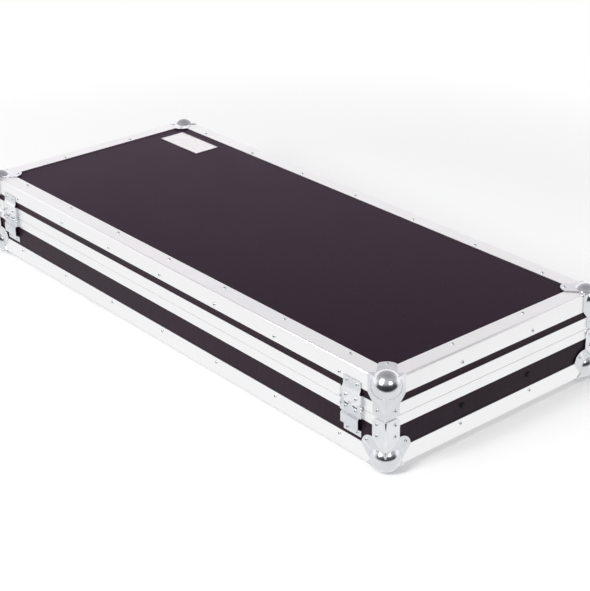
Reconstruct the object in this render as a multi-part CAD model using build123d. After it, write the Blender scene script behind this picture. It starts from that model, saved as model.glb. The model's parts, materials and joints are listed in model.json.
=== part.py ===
"""Flight case for a rack of five guitars, in millimetres, +Z up.

The case is a shallow tray and a hinged lid, both built from 7 mm faced plywood held in aluminium
edging. Ball corners cap its eight corners and it stands on the lower four. Two cranked hinges join
lid and tray on the -Y side, two recessed twist latches and a folding handle are on the +Y side.
Opened, the lid stands behind the tray as the neck rest of a guitar rack: the bodies stand on two
foam covered rails in the tray, and the necks lean in the notches of a comb in the lid.

The origin is at the middle of the case, on the surface that it stands on.
"""

import os
from math import radians, tan

from build123d import *

# Outer size of the case over its aluminium, without the balls of the corners
case_length = 1100.0
case_width = 463.0
tray_height = 85.5
lid_height = 63.0

# Sheet and profile sizes
ply = 7.0  # plywood
skin = 1.5  # wall of the aluminium edging and closing profiles
edging_leg = 30.0  # both legs of the edging angle
edging_round = 2.5
closure_lid_outer = 20.5  # height of the outer flange of the lid's closing profile
closure_tray_outer = 17.5
closure_inner = 12.0  # height of the inner flanges
closure_lid_web = 3.0
closure_tray_web = 6.0
tongue_height = 3.0
tongue_root = 6.0  # width where it leaves the profile
tongue_tip = 1.6
tongue_clearance = 0.3
parting_gap = 0.3  # between the closed lid and the tray

# Ball corners and corner braces
ball_radius = 23.4
ball_inset = 14.6  # from each face of the case to the centre of the ball
plate = 1.5  # pressed steel of corners, braces and hinges
fold = 2.0  # outer radius where the steel of corners and braces is folded
ear = 37.5  # reach of a corner plate along the edges of the case
ear_blunt = 2.0  # width of an ear at its end
notch_along = 31.0  # the corner plate's inward notch, along the edge and away from it
notch_away = 9.0
lobe_wide = 49.5  # where the straight sides of a lobe end
lobe_narrow = 30.5
lobe_reach = 43.5  # middle of the lobe's round end, from both edges
lobe_rivet = 39.0
leg_half_width = 26.4  # the brace's half width, on each of its two faces
leg_shoulder = 29.0  # where the lid corner's plate starts to narrow, from the top
leg_neck = 42.5  # and where it has narrowed to the leg
leg_gap = 0.7  # from the end of the leg to the parting line
leg_rivet_in = 17.0  # from the upright edge of the case
leg_rivet_up = 11.0  # from the parting line
leg_round = 5.0
brace_drop = 2.5  # from the parting line to the top of the brace
brace_thick = 2.0
brace_taper = 50.0  # height where the brace starts to narrow, over the bottom of the case
brace_tip = 34.0  # height of its blunt point
brace_waist = (16.5, 39.0)  # from the upright edge and over the bottom, on the way to the point
brace_cheek = (8.0, 34.8)
brace_round = 8.0
brace_clearance = 0.4  # between the brace and the ball corner
brace_rivet_top = 12.0  # from the parting line
brace_rivet_low = 31.0

# Hinges
hinge_inset = 71.0  # from the end of the case to the middle of the hinge
hinge_width = 46.0
hinge_tab_width = 38.0
hinge_stand_off = 4.0  # the outer face of the leaves, from the aluminium
hinge_raised = 7.0  # the outer face of the lower leaf's raised bridge
hinge_wall = 1.5
barrel_radius = 2.4
pin_radius = 1.2
pin_clearance = 0.05
barrel_clearance = 0.4
knuckle_count = 5
knuckle_gap = 0.3
leaf_edge = 3.0  # from the pin to the edge of each leaf between its knuckles
upper_leaf_top = 22.5  # heights of the leaf's bends over the parting line
upper_tab_low = 28.0
upper_tab_top = 41.7
lower_leaf_low = 16.5  # heights of the leaf's bends under the parting line
bridge_top = 19.5
bridge_low = 35.0
lower_tab_top = 39.5
lower_tab_low = 50.0
stop_reach = 5.2  # from the pin out to the tips of the ears that stop the lid
stop_angle = 97.2  # opening of the lid where the ears of both leaves would meet
stop_foot = 9.0
hinge_rivet_half = 11.0
upper_rivet_near = 12.0
upper_rivet_far = 35.5
lower_rivet_near = 7.0
lower_rivet_far = 44.2

# Latches
latch_from_centre = 330.0
latch_width = 80.0
latch_border = 8.0  # flange of the dishes round their recess
latch_deep = 14.5
dish_wall = 1.2
latch_tray_height = 46.0
latch_lid_height = 32.5
dish_clearance = 0.5  # between a dish and the edges of its cut-out
hook_width = 22.0
hook_thick = 2.0
hook_pivot_down = 32.5  # from the parting line to the hook's pivot
hook_pivot_deep = 8.6
hook_pin_radius = 1.3
hook_reach_up = 14.5  # from the parting line to the underside of the hook's nose
hook_nose = 4.2
hook_released = 18.0  # degrees that the released hook leans out of its dish
keeper_bar = 3.0
rotor_down = 14.0  # from the parting line to the rotor's axis
rotor_radius = 11.0
rotor_thick = 3.0
lock_length = 12.0  # bar on the rotor's inner end, that locks behind the bracket in the dish
lock_height = 5.0
lock_thick = 1.6
bracket_half = 14.0
bracket_high = 8.0
bracket_slot = 0.9  # clearance round the bar
wing_span = 30.0
wing_drop = 13.0
wing_thick = 2.0
wing_ear = 4.0
wing_neck = 3.0
wing_round = 3.5
wing_barrel_radius = 1.6
latch_running = 0.3
lock_gap = 0.4

# Handle
handle_width = 156.0
handle_height = 37.0
handle_border = 4.0
handle_deep = 18.0
handle_rod = 3.0  # radius of the steel bail
handle_clearance = 0.1
handle_grip_radius = 5.6
handle_grip_in = 26.0  # from the dish's end to the grip's end
handle_arm_in = 13.0  # from the dish's end to the middle of the bail's arm
handle_arm = 14.5
handle_pivot_in = 5.5  # from the case's outer face
handle_stub = 12.0  # length of the stubs that carry the bail
handle_pivot_gap = 0.4  # between the bail's eyes and the top of the recess

# Guitar rack
rail_spacing = 145.0
rail_height = 51.0  # over the bottom of the case
rail_radius = 10.0
rail_wall = 2.0
rail_plug = 22.0
rail_bolt_radius = 3.0
rail_bolt_head = 5.0
rail_bolt_head_top = 3.5  # radius of the head's flat end
rail_bolt_head_thick = 2.6
rail_bolt_length = 22.0
bolt_clearance = 0.1
sleeve_radius = 17.0
sleeve_short = 12.0  # bare end of a rail, each side
sleeve_clearance = 0.2
pad_thick = 10.0
pad_clearance = 1.0
comb_thick = 15.0
comb_height = 42.0
comb_from_latch_side = 45.0
neck_count = 5
neck_pitch = 200.0
neck_width = 62.0
neck_depth = 36.0
liner = 7.0

# Badge and rivets
badge_length = 119.0
badge_width = 55.0
badge_from_end = 57.0
badge_from_side = 49.0
badge_thick = 0.8
badge_round = 1.5
rivet_radius = 3.4
rivet_height = 1.1
rivet_top_share = 0.55  # radius of a rivet's flat top, as a share of its foot
rivet_in = 22.0  # from the case's edge, on both legs of the edging
rivet_end = 100.0  # from the ends of the case to the first rivet of a long side
rivet_count_long = 7
rivet_end_short = 155.0
rivet_count_short = 2

# Values that follow from the sizes above
half_length = case_length / 2
half_width = case_width / 2
foot = ball_radius - ball_inset  # the balls lift the case by this much
bottom = foot
parting = bottom + tray_height
top = parting + lid_height
tray_rim = parting - parting_gap / 2
lid_rim = parting + parting_gap / 2
wall = skin + ply  # from the case's outer face to the inside of a panel
closure_depth = skin + ply + skin
end_span = half_length - wall
side_span = half_width - wall
big = 200.0  # longer than any detail that a cutting tool has to clear
overshoot = 1.0  # how far a cut, or a foot sunk into its base, goes beyond the face that it starts from
sides = ("hinge_side", "latch_side", "left_end", "right_end")


def block(x0, x1, y0, y1, z0, z1):
    """A box from its limits."""
    return Pos((x0 + x1) / 2, (y0 + y1) / 2, (z0 + z1) / 2) * Box(x1 - x0, y1 - y0, z1 - z0)


def section(points):
    """A flat outline in the YZ plane."""
    return Plane.YZ * make_face(Polyline(*points, close=True))


def round_bar(x0, x1, y, z, radius):
    """A cylinder along X."""
    return Pos((x0 + x1) / 2, y, z) * Rot(0, 90, 0) * Cylinder(radius, x1 - x0)


def along_side(profile, side):
    """A profile of points (depth from the case's outer face, z), run along one side and mitred."""
    long_side = side.endswith("side")
    length = case_length if long_side else case_width
    out = half_width if long_side else half_length
    bar = Pos(-length / 2, 0, 0) * extrude(profile, amount=length)
    over = 5.0
    deep = edging_leg + over
    prism = make_face(
        Polyline(
            (-length / 2 - over, -over),
            (length / 2 + over, -over),
            (length / 2 - deep, deep),
            (-length / 2 + deep, deep),
            close=True,
        )
    )
    bar = Pos(0, -out, 0) * (bar & extrude(prism, amount=top + big))
    turn = {"hinge_side": 0, "latch_side": 180, "right_end": 90, "left_end": -90}[side]
    return Rot(0, 0, turn) * bar


def four_corners(piece):
    """Copies of a piece made for the -X -Y corner, mirrored to the four corners of the case."""
    behind = mirror(piece, about=Plane.XZ)
    return {
        "hinge_left": piece,
        "hinge_right": mirror(piece, about=Plane.YZ),
        "latch_left": behind,
        "latch_right": mirror(behind, about=Plane.YZ),
    }


def corner_trim(z):
    """What the round inside of the ball corners takes off the sharp corners of panels and edging."""
    inside = ball_radius - plate - tongue_clearance
    up = 1 if z == bottom else -1
    cube = block(0, ball_inset, 0, ball_inset, 0, ball_inset)
    cap = cube - Pos(ball_inset, ball_inset, ball_inset) * Sphere(inside)
    if up < 0:
        cap = mirror(cap, about=Plane.XY)
    cap = Pos(-half_length, -half_width, z) * cap
    return list(four_corners(cap).values())


def trimmed(piece, z):
    """A piece without what would poke through the ball corners."""
    for cap in corner_trim(z):
        piece = piece - cap
    return piece


def brace_edge(lower):
    """The lower edge of the corner brace on one face, from its side to the upright edge of the case."""
    return [
        (leg_half_width, brace_taper - lower),
        (brace_waist[0], brace_waist[1] - lower),
        (brace_cheek[0], brace_cheek[1] - lower),
        (-brace_thick, brace_tip - lower),
    ]


def lobe_outline(with_upright_ear):
    """The plate of a ball corner on one face: ears along the edges and a lobe along the diagonal."""
    start = [(-plate, -plate), (ear, -plate), (ear, ear_blunt), (notch_along, notch_away)]
    if with_upright_ear:
        end = [(notch_away, notch_along), (ear_blunt, ear), (-plate, ear)]
    else:
        edge = brace_edge(brace_clearance)
        end = edge[:-1] + [(-plate, edge[-1][1])]
    lines = Polyline(*start, (lobe_wide, lobe_narrow))
    tip = ThreePointArc((lobe_wide, lobe_narrow), (lobe_reach, lobe_reach), (lobe_narrow, lobe_wide))
    back = Polyline((lobe_narrow, lobe_wide), *end, (-plate, -plate))
    return make_face(Curve() + [lines, tip, back])


def leg_outline():
    """The lid corner's plate on an upright face: it narrows into a leg that ends at the parting line."""
    foot_end = lid_height - leg_gap
    face = make_face(
        Polyline(
            (-plate, -plate),
            (ear, -plate),
            (ear, leg_shoulder),
            (leg_half_width, leg_neck),
            (leg_half_width, foot_end),
            (-plate, foot_end),
            close=True,
        )
    )
    corner = face.vertices().sort_by(Axis.X)[-4:].sort_by(Axis.Y)[-1]
    return fillet(corner, leg_round)


def folded(sheet, thick):
    """A corner's sheet metal with its three outer edges rounded by the folds."""
    middle = fold - thick
    third = Rot(0, 90, 90)
    for turn in (Rot(0, 0, 0), third, third * third):
        corner = block(-thick, middle, -thick, middle, -big, big)
        corner -= Pos(middle, middle, 0) * Cylinder(fold, 2 * big)
        sheet = sheet - turn * corner
    return sheet


def ball_corner(outline_flat, outline_x, outline_y):
    """A corner whose case fills x, y, z > 0 from the origin: three plates and a hollow ball."""
    centre = Pos(ball_inset, ball_inset, ball_inset)
    hollow = centre * Sphere(ball_radius - plate)
    face_x = Plane(origin=(0, 0, 0), x_dir=(0, 1, 0), z_dir=(1, 0, 0))
    face_y = Plane(origin=(0, 0, 0), x_dir=(1, 0, 0), z_dir=(0, -1, 0))
    plates = extrude(outline_flat, amount=-plate)
    plates += extrude(face_x * outline_x, amount=-plate)
    plates += extrude(face_y * outline_y, amount=plate)
    nose = block(-plate, ball_inset, -plate, ball_inset, -plate, ball_inset)
    plates = folded(plates, plate) - nose
    inside = block(0, big, 0, big, 0, big) - block(0, ball_inset, 0, ball_inset, 0, ball_inset)
    ball = centre * Sphere(ball_radius) - hollow
    return (plates - hollow) + (ball - inside)


def corner_brace():
    """The folded brace on an upright edge of the tray, its blunt point between the lobes of the corner."""
    high = tray_height - brace_drop
    outline = make_face(
        Polyline((-brace_thick, high), (leg_half_width, high), *brace_edge(0), close=True)
    )
    outline = fillet(outline.vertices().sort_by(Axis.Y)[-2:].sort_by(Axis.X)[-1], brace_round)
    face_x = Plane(origin=(0, 0, 0), x_dir=(0, 1, 0), z_dir=(1, 0, 0))
    face_y = Plane(origin=(0, 0, 0), x_dir=(1, 0, 0), z_dir=(0, -1, 0))
    brace = extrude(face_x * outline, amount=-brace_thick) + extrude(face_y * outline, amount=brace_thick)
    brace = folded(brace, brace_thick)
    return brace - Pos(ball_inset, ball_inset, ball_inset) * Sphere(ball_radius + brace_clearance)


def tray_panels():
    """Floor and four walls of the tray, with the cut-outs of its fittings."""
    rim = tray_rim - closure_tray_web
    floor_top = bottom + wall
    out_x = half_length - skin
    out_y = half_width - skin
    floor = block(-out_x, out_x, -out_y, out_y, bottom + skin, floor_top)
    side = block(-out_x, out_x, -out_y, -side_span, floor_top, rim)
    end = block(end_span, out_x, -side_span, side_span, floor_top, rim)
    for y in (-rail_spacing / 2, rail_spacing / 2):
        end -= round_bar(half_length - big, half_length + big, y, bottom + rail_height,
                         rail_bolt_radius + bolt_clearance)
    latch_side = mirror(side, about=Plane.XZ) - latch_openings() - handle_opening()
    return {
        "tray_floor_panel": trimmed(floor, bottom),
        "tray_hinge_side_panel": trimmed(side, bottom),
        "tray_latch_side_panel": trimmed(latch_side, bottom),
        "tray_right_end_panel": end,
        "tray_left_end_panel": mirror(end, about=Plane.YZ),
    }


def lid_panels():
    """Top and four walls of the lid."""
    rim = lid_rim + closure_lid_web
    under = top - wall
    out_x = half_length - skin
    out_y = half_width - skin
    roof = block(-out_x, out_x, -out_y, out_y, under, top - skin)
    side = block(-out_x, out_x, -out_y, -side_span, rim, under)
    end = block(end_span, out_x, -side_span, side_span, rim, under)
    return {
        "lid_top_panel": trimmed(roof, top),
        "lid_hinge_side_panel": trimmed(side, top),
        "lid_latch_side_panel": trimmed(mirror(side, about=Plane.XZ) - latch_openings(), top),
        "lid_right_end_panel": end,
        "lid_left_end_panel": mirror(end, about=Plane.YZ),
    }


def edging(z, up):
    """The angle along the outer edges of the tray (up = 1) or the lid (up = -1)."""
    face = section([
        (0, z),
        (edging_leg, z),
        (edging_leg, z + up * skin),
        (skin, z + up * skin),
        (skin, z + up * edging_leg),
        (0, z + up * edging_leg),
    ])
    outer = face.vertices().sort_by_distance((0, 0, z))[0]
    face = fillet(outer, edging_round)
    return {side: trimmed(along_side(face, side), z) for side in sides}


def tray_closures():
    """The grooved closing profile on the rim of the tray."""
    middle = closure_depth / 2
    mouth = tongue_root / 2 + tongue_clearance
    floor = tongue_tip / 2 + tongue_clearance
    deep = tray_rim - tongue_height - tongue_clearance
    face = section([
        (0, parting - closure_tray_outer),
        (0, tray_rim),
        (middle - mouth, tray_rim),
        (middle - floor, deep),
        (middle + floor, deep),
        (middle + mouth, tray_rim),
        (closure_depth, tray_rim),
        (closure_depth, tray_rim - closure_inner),
        (wall, tray_rim - closure_inner),
        (wall, tray_rim - closure_tray_web),
        (skin, tray_rim - closure_tray_web),
        (skin, parting - closure_tray_outer),
    ])
    return closures(face)


def lid_closures():
    """The tongued closing profile on the rim of the lid."""
    middle = closure_depth / 2
    face = section([
        (0, parting + closure_lid_outer),
        (0, lid_rim),
        (middle - tongue_root / 2, lid_rim),
        (middle - tongue_tip / 2, lid_rim - tongue_height),
        (middle + tongue_tip / 2, lid_rim - tongue_height),
        (middle + tongue_root / 2, lid_rim),
        (closure_depth, lid_rim),
        (closure_depth, lid_rim + closure_inner),
        (wall, lid_rim + closure_inner),
        (wall, lid_rim + closure_lid_web),
        (skin, lid_rim + closure_lid_web),
        (skin, parting + closure_lid_outer),
    ])
    return closures(face)


def closures(face):
    """Four mitred lengths of a closing profile, notched for the hinges and cut for the latches."""
    rim = {side: along_side(face, side) for side in sides}
    for x in hinge_places():
        half = hinge_width / 2 + barrel_clearance
        rim["hinge_side"] -= round_bar(x - half, x + half, pivot_y(), parting,
                                       barrel_radius + barrel_clearance)
    rim["latch_side"] -= latch_openings(latch_border)
    return rim


def hinge_places():
    """The middle of each hinge along X."""
    return (-half_length + hinge_inset, half_length - hinge_inset)


def pivot_y():
    """The hinge pin, where the barrel is flush with the outer faces of the leaves."""
    return -half_width - hinge_stand_off + barrel_radius


def knuckles(first, reach):
    """Every second knuckle of the barrel, with the web to its leaf, centred on x = 0."""
    pitch = hinge_width / knuckle_count
    pieces = []
    for n in range(first, knuckle_count, 2):
        x0 = -hinge_width / 2 + n * pitch + knuckle_gap / 2
        x1 = x0 + pitch - knuckle_gap
        y_out = -half_width - hinge_stand_off
        web = block(x0, x1, y_out, y_out + hinge_wall, *sorted((parting, parting + reach)))
        pieces.append(round_bar(x0, x1, pivot_y(), parting, barrel_radius) + web)
    return pieces


def stop_ears(up):
    """The ears on both ends of a leaf that meet those of the other leaf when the lid is open."""
    y = pivot_y()
    out = -half_width - hinge_stand_off
    tip = stop_reach / tan(radians((180 - stop_angle) / 2))
    ear_face = section([
        (out, parting + up * leaf_edge),
        (y - stop_reach, parting + up * tip),
        (out, parting + up * stop_foot),
        (out + hinge_wall, parting + up * stop_foot),
        (out + hinge_wall, parting + up * leaf_edge),
    ])
    one = extrude(ear_face, amount=hinge_wall)
    return [Pos(-hinge_width / 2, 0, 0) * one, Pos(hinge_width / 2 - hinge_wall, 0, 0) * one]


def hinge_leaf(outline, near, far, first, reach):
    """A leaf from its bent section, its wide part between near and far stiffened by side walls."""
    centre = Pos(-hinge_tab_width / 2, 0, 0) * extrude(outline, amount=hinge_tab_width)
    low, high = sorted((near, far))
    half = hinge_width / 2
    y_out = -half_width - hinge_stand_off
    leaf = centre + block(-half, half, y_out, y_out + hinge_wall, low, high)
    for x in (-half, half - hinge_wall):
        leaf += block(x, x + hinge_wall, y_out, -half_width, low, high)
    for piece in knuckles(first, reach) + stop_ears(reach / leaf_edge):
        leaf += piece
    bore = pin_radius + pin_clearance
    return leaf - round_bar(-half - overshoot, half + overshoot, pivot_y(), parting, bore)


def upper_leaf():
    """The lid's leaf: a tab on the edging, a crank outwards and the wide plate over the closing profile."""
    face_y = -half_width
    out = face_y - hinge_stand_off
    points = [
        (out, parting + leaf_edge),
        (out, parting + upper_leaf_top),
        (face_y - plate, parting + upper_tab_low),
        (face_y - plate, parting + upper_tab_top),
        (face_y, parting + upper_tab_top),
        (face_y, parting + upper_tab_low - plate),
        (out + hinge_wall, parting + upper_leaf_top - plate),
        (out + hinge_wall, parting + leaf_edge),
    ]
    return hinge_leaf(section(points), parting + leaf_edge, parting + upper_leaf_top, 1, leaf_edge)


def lower_leaf():
    """The tray's leaf: the wide plate, a raised bridge over the panel and a tab on the panel."""
    face_y = -half_width
    out = face_y - hinge_stand_off
    raised = face_y - hinge_raised
    panel = face_y + skin
    points = [
        (out, parting - leaf_edge),
        (out, parting - lower_leaf_low),
        (raised, parting - bridge_top),
        (raised, parting - bridge_low),
        (panel - plate, parting - lower_tab_top),
        (panel - plate, parting - lower_tab_low),
        (panel, parting - lower_tab_low),
        (panel, parting - lower_tab_top + plate),
        (raised + plate, parting - bridge_low + plate),
        (raised + plate, parting - bridge_top - plate),
        (out + hinge_wall, parting - lower_leaf_low),
        (out + hinge_wall, parting - leaf_edge),
    ]
    return hinge_leaf(section(points), parting - leaf_edge, parting - lower_leaf_low, 0, -leaf_edge)


def latch_places():
    """The middle of each latch along X."""
    return (-latch_from_centre, latch_from_centre)


def latch_openings(wider=0):
    """The cut-outs for the recesses of both latches, or for their flanges too when made wider."""
    half = latch_width / 2 - latch_border + dish_clearance + wider
    low = parting - latch_tray_height + latch_border - dish_clearance
    high = parting + latch_lid_height - latch_border + dish_clearance
    return [
        block(x - half, x + half, half_width - big / 4, half_width + overshoot, low, high)
        for x in latch_places()
    ]


def dish(half, low, high, deep, open_low, open_high, border):
    """A pressed dish for the +Y side, centred on x = 0: a flange on the case and a recess behind it."""
    face_y = half_width - skin
    rec_low = low if open_low else low + border
    rec_high = high if open_high else high - border
    inner = half - border
    shell = block(-half, half, face_y, face_y + dish_wall, low, high)
    shell += block(-inner, inner, face_y - deep, face_y + dish_wall, rec_low, rec_high)
    cut_low = rec_low if open_low else rec_low + dish_wall
    cut_high = rec_high if open_high else rec_high - dish_wall
    inside = inner - dish_wall
    return shell - block(-inside, inside, face_y - deep + dish_wall, face_y + big, cut_low, cut_high)


def latch_tray_dish():
    """The lower dish of a latch, with the two lugs and the pin that carry the hook."""
    low = parting - latch_tray_height
    shell = dish(latch_width / 2, low, tray_rim, latch_deep, False, True, latch_border)
    y = half_width - hook_pivot_deep
    z = parting - hook_pivot_down
    eye = 2 * hook_pin_radius
    for side in (-1, 1):
        x0 = side * (hook_width / 2 + latch_running)
        x1 = x0 + side * hook_thick
        shell += block(min(x0, x1), max(x0, x1), latch_floor(), y + eye, z - eye, z + eye)
    reach = hook_width / 2 + latch_running + hook_thick
    return shell + round_bar(-reach, reach, y, z, hook_pin_radius) + lock_bracket()


def latch_floor():
    """Depth of the inner face of the floor of the latches' dishes."""
    return half_width - skin - latch_deep + dish_wall


def lock_bracket():
    """The slotted bridge in the lower dish, that the bar of the rotor goes through and locks behind."""
    y1 = half_width - hook_pivot_deep - hook_thick / 2 - lock_gap
    z = parting - rotor_down
    y0 = y1 - lock_thick
    bracket = block(-bracket_half, bracket_half, latch_floor(), y1, z - bracket_high, z + bracket_high)
    inside = bracket_half - lock_thick
    bracket -= block(-inside, inside, latch_floor(), y0, z - big, z + big)
    half = lock_length / 2 + bracket_slot
    high = lock_height / 2 + bracket_slot
    return bracket - block(-half, half, y0, y1, z - high, z + high)


def latch_keeper_dish():
    """The upper dish of a latch, with the bar that the hook's nose pulls down on."""
    high = parting + latch_lid_height
    shell = dish(latch_width / 2, lid_rim, high, latch_deep, True, False, latch_border)
    inside = latch_width / 2 - latch_border - dish_wall
    y1 = half_width - hook_pivot_deep - hook_thick / 2 - latch_running
    z1 = parting + hook_reach_up - latch_running
    return shell + block(-inside, inside, latch_floor(), y1, z1 - keeper_bar, z1)


def hook():
    """The hook plate of a latch, upright as it is when locked, centred on x = 0."""
    y = half_width - hook_pivot_deep
    z = parting - hook_pivot_down
    half = hook_width / 2
    y0 = y - hook_thick / 2
    y1 = y + hook_thick / 2
    high = parting + hook_reach_up + hook_thick
    piece = block(-half, half, y0, y1, z, high)
    piece += block(-half, half, y0 - hook_nose, y1, high - hook_thick, high)
    piece += round_bar(-half, half, y, z, 2 * hook_pin_radius)
    piece -= round_bar(-half, half, y, z, hook_pin_radius + pin_clearance)
    spindle = Pos(0, y, parting - rotor_down) * Rot(90, 0, 0)
    return piece - spindle * Cylinder(lock_height / 2 + pin_clearance, 2 * hook_thick)


def rotor():
    """The turning disc of a latch, with its spindle and the two ears that hold the wing."""
    y = half_width - hook_pivot_deep + hook_thick / 2
    z = parting - rotor_down
    axle = Rot(90, 0, 0)
    disc_y = y + latch_running + rotor_thick / 2
    piece = Pos(0, disc_y, z) * axle * Cylinder(rotor_radius, rotor_thick)
    lock_y = y - hook_thick - 2 * lock_gap - lock_thick
    post = y + latch_running - lock_y
    piece += Pos(0, y + latch_running - post / 2, z) * axle * Cylinder(lock_height / 2, post)
    half = lock_length / 2
    piece += block(-half, half, lock_y - lock_thick, lock_y, z - lock_height / 2, z + lock_height / 2)
    face = disc_y + rotor_thick / 2
    for side in (-1, 1):
        x0 = side * (rotor_radius - wing_ear)
        x1 = x0 - side * wing_thick
        ear_x = sorted((x0, x1))
        piece += block(*ear_x, face - overshoot, face + wing_ear, z - wing_thick, z + wing_thick)
    reach = rotor_radius - wing_ear
    return piece + round_bar(-reach, reach, face + wing_thick, z, wing_thick / 2)


def wing():
    """The folding butterfly of a latch, hanging flat against the disc."""
    face = half_width - hook_pivot_deep + hook_thick / 2 + latch_running + rotor_thick
    y = face + wing_thick
    z = parting - rotor_down
    barrel = rotor_radius - wing_ear - wing_thick - latch_running
    half = wing_span / 2
    bore = round_bar(-half, half, y, z, wing_thick / 2 + pin_clearance)
    neck = wing_neck
    outline = make_face(
        Polyline(
            (-barrel, 0), (barrel, 0), (barrel, -neck), (half, -neck),
            (half, -wing_drop), (-half, -wing_drop), (-half, -neck), (-barrel, -neck),
            close=True,
        )
    )
    ends = outline.vertices().group_by(Axis.X)
    leaf = fillet(ends[0] + ends[-1], wing_round)
    place = Plane(origin=(0, y + wing_thick / 2, z), x_dir=(1, 0, 0), z_dir=(0, -1, 0))
    piece = extrude(place * leaf, amount=wing_thick)
    piece += round_bar(-barrel, barrel, y, z, wing_barrel_radius)
    return piece - bore


def leaned(piece):
    """A moving piece of a latch as the released hook carries it, leaning out of the dish."""
    y = half_width - hook_pivot_deep
    z = parting - hook_pivot_down
    return piece.rotate(Axis((0, y, z), (1, 0, 0)), -hook_released)


def handle_levels():
    """Height of the lower and upper edge of the handle's dish, midway between the aluminium."""
    free = tray_height - edging_leg - closure_tray_outer
    low = bottom + edging_leg + (free - handle_height) / 2
    return low, low + handle_height


def handle_opening():
    """The cut-out for the handle's recess."""
    low, high = handle_levels()
    edge = handle_border - dish_clearance
    half = handle_width / 2 - edge
    return block(-half, half, half_width - big / 4, half_width + overshoot, low + edge, high - edge)


def handle_pivot():
    """Depth and height of the handle's pivot, near the front and the top of its dish."""
    roof = handle_levels()[1] - handle_border - dish_wall
    return half_width - handle_pivot_in, roof - handle_rod - handle_pivot_gap


def handle_dish():
    """The handle's pressed dish, set on the panel, with the two stubs that carry the bail."""
    low, high = handle_levels()
    shell = dish(handle_width / 2, low, high, handle_deep, False, False, handle_border)
    side = handle_width / 2 - handle_border
    reach = side - handle_stub
    y, z = handle_pivot()
    stub = handle_rod / 2
    return shell + [round_bar(reach, side, y, z, stub), round_bar(-side, -reach, y, z, stub)]


def handle_bail():
    """The bent rod of the handle, hanging folded in its dish."""
    y, z = handle_pivot()
    half = handle_width / 2 - handle_arm_in
    piece = round_bar(-half, half, y, z - handle_arm, handle_rod)
    for x in (-half, half):
        piece += Pos(x, y, z - handle_arm / 2) * Cylinder(handle_rod, handle_arm)
        piece += round_bar(x - handle_rod, x + handle_rod, y, z, handle_rod)
        piece += Pos(x, y, z - handle_arm) * Sphere(handle_rod)
    return piece - round_bar(-half - big, half + big, y, z, handle_rod / 2 + handle_clearance)


def handle_grip():
    """The moulded grip on the straight of the bail."""
    y, z = handle_pivot()
    half = handle_width / 2 - handle_grip_in
    grip = round_bar(-half, half, y, z - handle_arm, handle_grip_radius)
    return grip - round_bar(-half, half, y, z - handle_arm, handle_rod)


def rails():
    """The two tubes that the guitars stand on, with the plugs that take their bolts."""
    solids = []
    z = bottom + rail_height
    for y in (-rail_spacing / 2, rail_spacing / 2):
        tube = round_bar(-end_span, end_span, y, z, rail_radius)
        hollow = end_span - rail_plug
        tube -= round_bar(-hollow, hollow, y, z, rail_radius - rail_wall)
        for side in (-1, 1):
            x0, x1 = sorted((side * (end_span - rail_plug), side * (end_span + overshoot)))
            tube -= round_bar(x0, x1, y, z, rail_bolt_radius + bolt_clearance / 2)
        solids.append(tube)
    return Compound(children=solids)


def rail_bolts():
    """Four button head bolts through the end panels."""
    solids = []
    z = bottom + rail_height
    face = half_length - skin
    for y in (-rail_spacing / 2, rail_spacing / 2):
        for side in (-1, 1):
            x0, x1 = sorted((side * (face - rail_bolt_length), side * face))
            shank = round_bar(x0, x1, y, z, rail_bolt_radius)
            turn = Rot(0, side * 90, 0)
            middle = side * (face + rail_bolt_head_thick / 2)
            head = Pos(middle, y, z) * turn * Cone(rail_bolt_head, rail_bolt_head_top, rail_bolt_head_thick)
            solids.append(shank + head)
    return Compound(children=solids)


def rail_sleeves():
    """The foam sleeves on the rails."""
    z = bottom + rail_height
    half = end_span - sleeve_short
    solids = []
    for y in (-rail_spacing / 2, rail_spacing / 2):
        sleeve = round_bar(-half, half, y, z, sleeve_radius)
        solids.append(sleeve - round_bar(-half, half, y, z, rail_radius + sleeve_clearance))
    return Compound(children=solids)


def comb_y():
    """The latch side face of the comb in the lid."""
    return half_width - comb_from_latch_side


def neck_notch(inset, past):
    """A round ended notch of the comb, made smaller by inset, that runs past the comb's rim."""
    half = neck_width / 2 - inset
    low = top - wall - comb_height
    round_z = low + neck_depth - neck_width / 2
    y0 = comb_y() - comb_thick
    slot = block(-half, half, y0, comb_y(), low - past, round_z)
    return slot + Pos(0, y0 + comb_thick / 2, round_z) * Rot(90, 0, 0) * Cylinder(half, comb_thick)


def neck_places():
    """The middle of each notch along X."""
    return [(n - (neck_count - 1) / 2) * neck_pitch for n in range(neck_count)]


def neck_comb():
    """The board across the lid with a notch for each guitar neck."""
    low = top - wall - comb_height
    board = block(-end_span, end_span, comb_y() - comb_thick, comb_y(), low, top - wall)
    for x in neck_places():
        board -= Pos(x, 0, 0) * neck_notch(0, 1)
    return board


def neck_liners():
    """The foam liners of the notches."""
    low = top - wall - comb_height
    room = block(-neck_width, neck_width, comb_y() - comb_thick, comb_y(), low, top)
    strip = (neck_notch(0, 0) - neck_notch(liner, 1)) & room
    return Compound(children=[Pos(x, 0, 0) * strip for x in neck_places()])


def tray_pad():
    """The foam pad on the floor of the tray."""
    half_x = end_span - pad_clearance
    half_y = side_span - latch_deep - pad_clearance
    floor = bottom + wall
    return block(-half_x, half_x, -side_span + pad_clearance, half_y, floor, floor + pad_thick)


def lid_pad():
    """The foam pad under the top of the lid, up to the comb."""
    half_x = end_span - pad_clearance
    under = top - wall
    return block(-half_x, half_x, -side_span + pad_clearance, comb_y() - comb_thick - pad_clearance,
                 under - pad_thick, under)


def badge():
    """The blank plate near the left corner of the top, on the latch side."""
    plan = Rectangle(badge_length, badge_width)
    plan = fillet(plan.vertices(), badge_round)
    x = -half_length + badge_from_end + badge_length / 2
    y = half_width - badge_from_side - badge_width / 2
    return Pos(x, y, top - skin) * extrude(plan, amount=badge_thick)


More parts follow.
